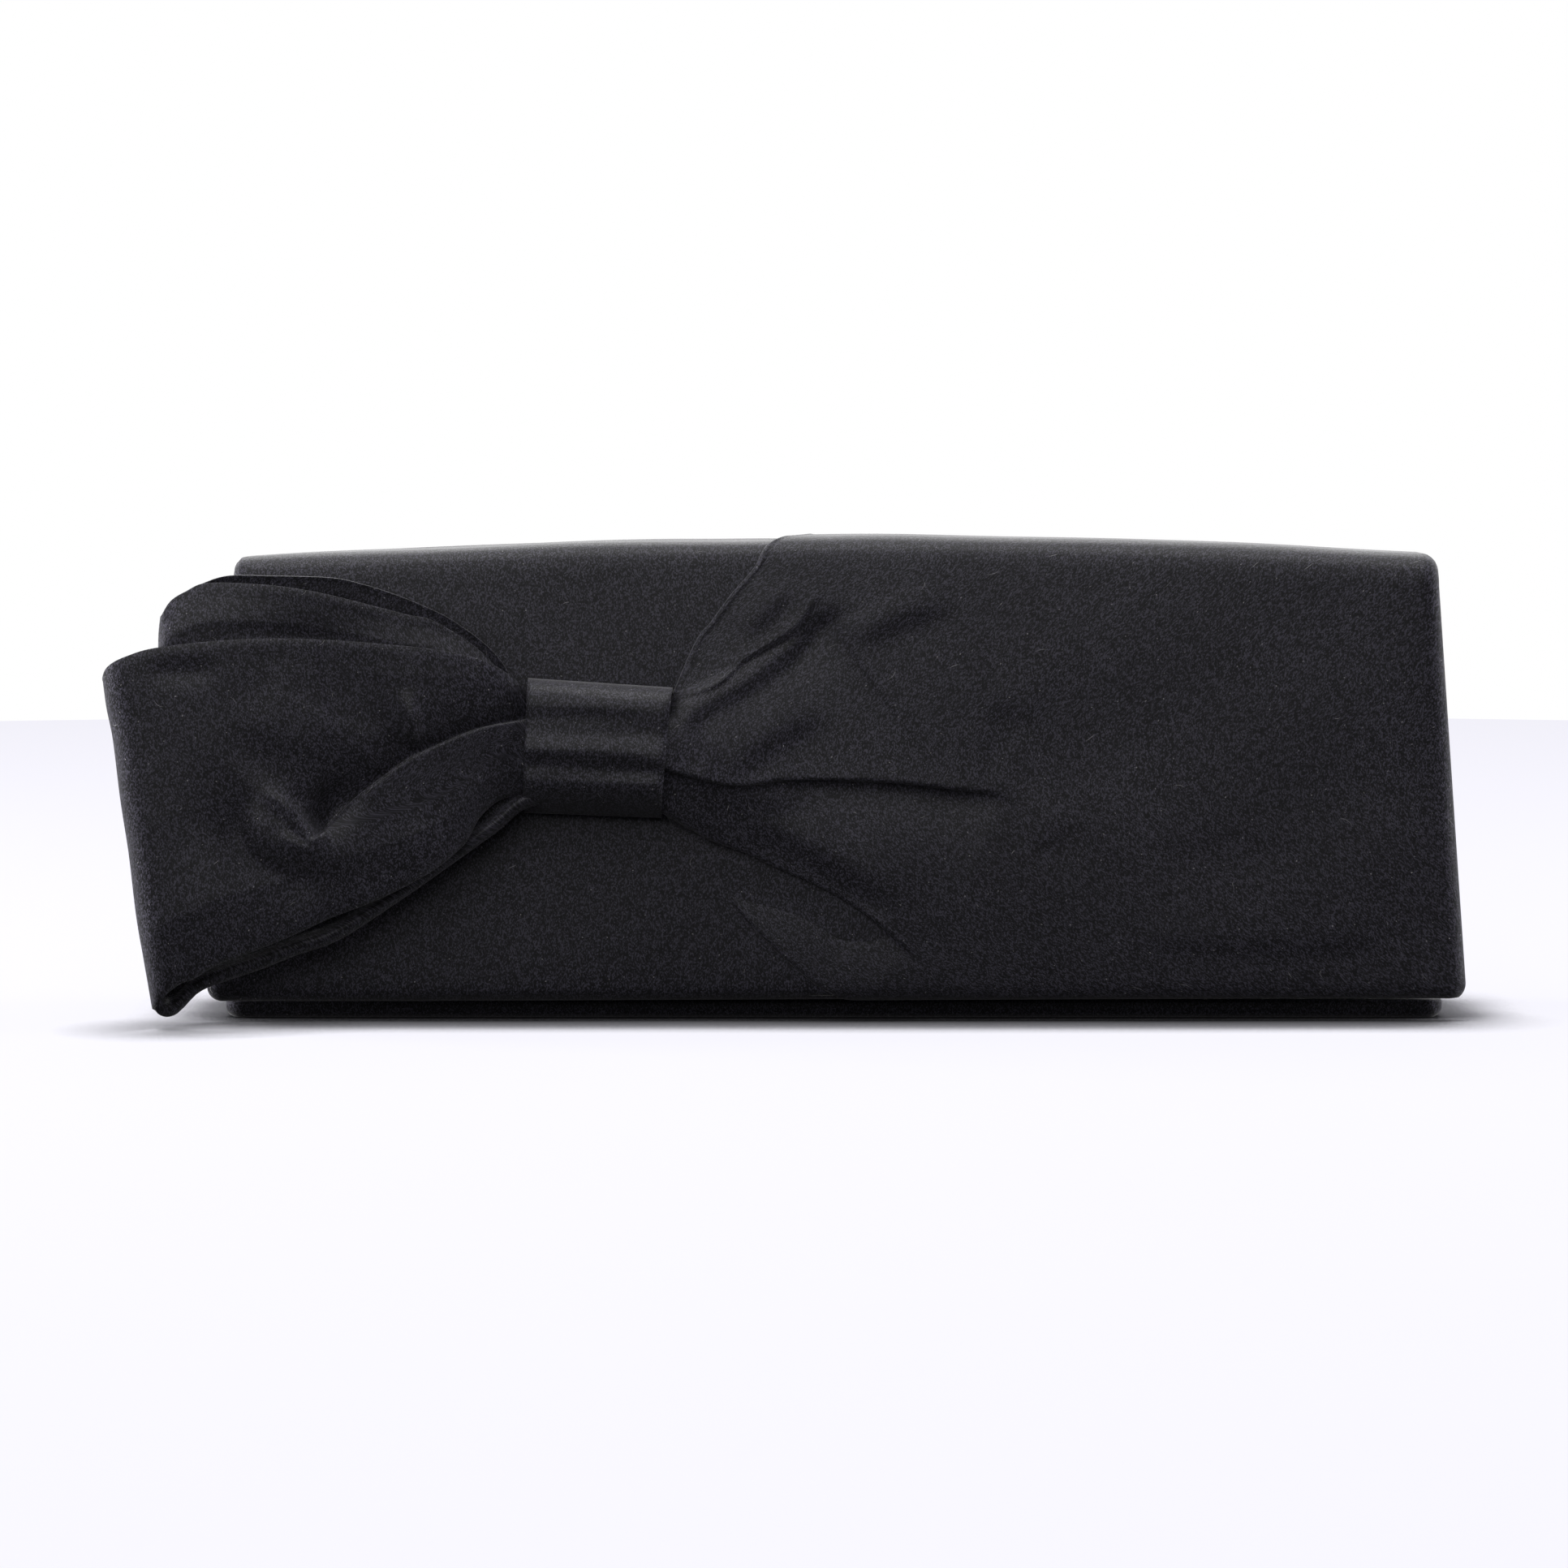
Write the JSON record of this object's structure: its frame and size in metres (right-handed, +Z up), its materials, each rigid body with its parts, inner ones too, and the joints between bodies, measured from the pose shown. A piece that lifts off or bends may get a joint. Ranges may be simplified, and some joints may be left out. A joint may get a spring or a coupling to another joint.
{
  "type": "evening clutch bag",
  "caption": "Satin evening clutch with a padded magnetic flap, a one-sided bow gathered through a knot, and pleated gussets.",
  "frame": {"origin": "middle of the underside of the base, on the surface that the bag stands on", "axes": "+X along the bag, to the right seen from the front; +Y to the back; +Z up"},
  "size_m": [0.2844, 0.0685, 0.1022],
  "materials": {
    "satin": "black satin, soft sheen, glued over board",
    "bow_satin": "doubled black satin, soft sheen",
    "lining": "smooth black lining cloth",
    "wadding": "thin white wadding",
    "board": "plain grey paperboard",
    "snap_metal": "nickel plate",
    "magnet": "dull nickel-plated magnet"
  },
  "bodies": {
    "bag": {"base_cover": "satin", "base_board": "board", "base_lining": "lining", "back_cover": "satin", "back_board": "board", "back_lining": "lining", "slip_pocket": "lining", "pocket_hem": "lining", "left_gusset": "satin", "right_gusset": "satin", "left_gusset_lining": "lining", "right_gusset_lining": "lining"},
    "front_wall": {"front_cover": "satin", "front_board": "board", "front_lining": "lining", "snap_socket": "snap_metal", "snap_magnet": "magnet", "socket_washer": "snap_metal"},
    "flap_spine": {"spine_cover": "satin", "spine_pad": "wadding", "spine_lining": "lining", "sash_spine": "bow_satin"},
    "flap": {"flap_cover": "satin", "flap_wadding": "wadding", "flap_board": "board", "flap_lining": "lining", "snap_stud": "snap_metal", "stud_washer": "snap_metal", "sash_panel": "bow_satin", "bow_knot": "bow_satin", "bow_core": "bow_satin", "bow_front_loop": "bow_satin", "bow_rear_loop": "bow_satin"}
  },
  "joints": [
    {"name": "spine_hinge", "type": "hinge", "parent": "bag", "child": "flap_spine", "pos_m": [0, 0.01001, 0.09501], "axis": [-1, 0, 0], "range_deg": [0, 160]},
    {"name": "flap_fold", "type": "hinge", "parent": "flap_spine", "child": "flap", "pos_m": [0, -0.01856, 0.09501], "axis": [-1, 0, 0], "range_deg": [0, 90]},
    {"name": "mouth_tilt", "type": "hinge", "parent": "bag", "child": "front_wall", "pos_m": [0, -0.02, 0.0043], "axis": [1, 0, 0], "range_deg": [0, 12], "deforming": ["left_gusset", "right_gusset", "left_gusset_lining", "right_gusset_lining"]}
  ],
  "couplings": [
    {"joint": "mouth_tilt", "follows": "spine_hinge", "ratio": 0.075}
  ]
}
